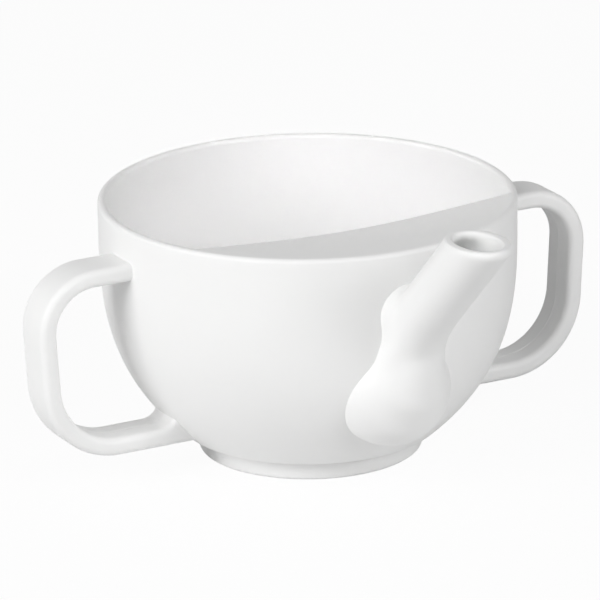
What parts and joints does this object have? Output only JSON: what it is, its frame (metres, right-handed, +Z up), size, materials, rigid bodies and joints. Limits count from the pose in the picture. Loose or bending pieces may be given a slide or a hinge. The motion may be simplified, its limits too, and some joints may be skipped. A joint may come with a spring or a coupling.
{
  "type": "feeding cup",
  "caption": "White feeding cup with a loop handle on each side, a cover over part of its mouth, a slanting spout fed from low in the bowl, and a foot ring.",
  "frame": {"origin": "on the table plane, under the middle of the overall box", "axes": "+X across the handles to the right one, -Y along the spout, +Z up"},
  "size_m": [0.1474, 0.1412, 0.074],
  "materials": {
    "white_plastic": "smooth moulded white plastic with a soft satin gloss"
  },
  "bodies": {
    "root": {"bowl": "white_plastic", "foot_ring": "white_plastic", "front_cover": "white_plastic", "left_handle": "white_plastic", "right_handle": "white_plastic", "spout": "white_plastic"}
  },
  "joints": []
}
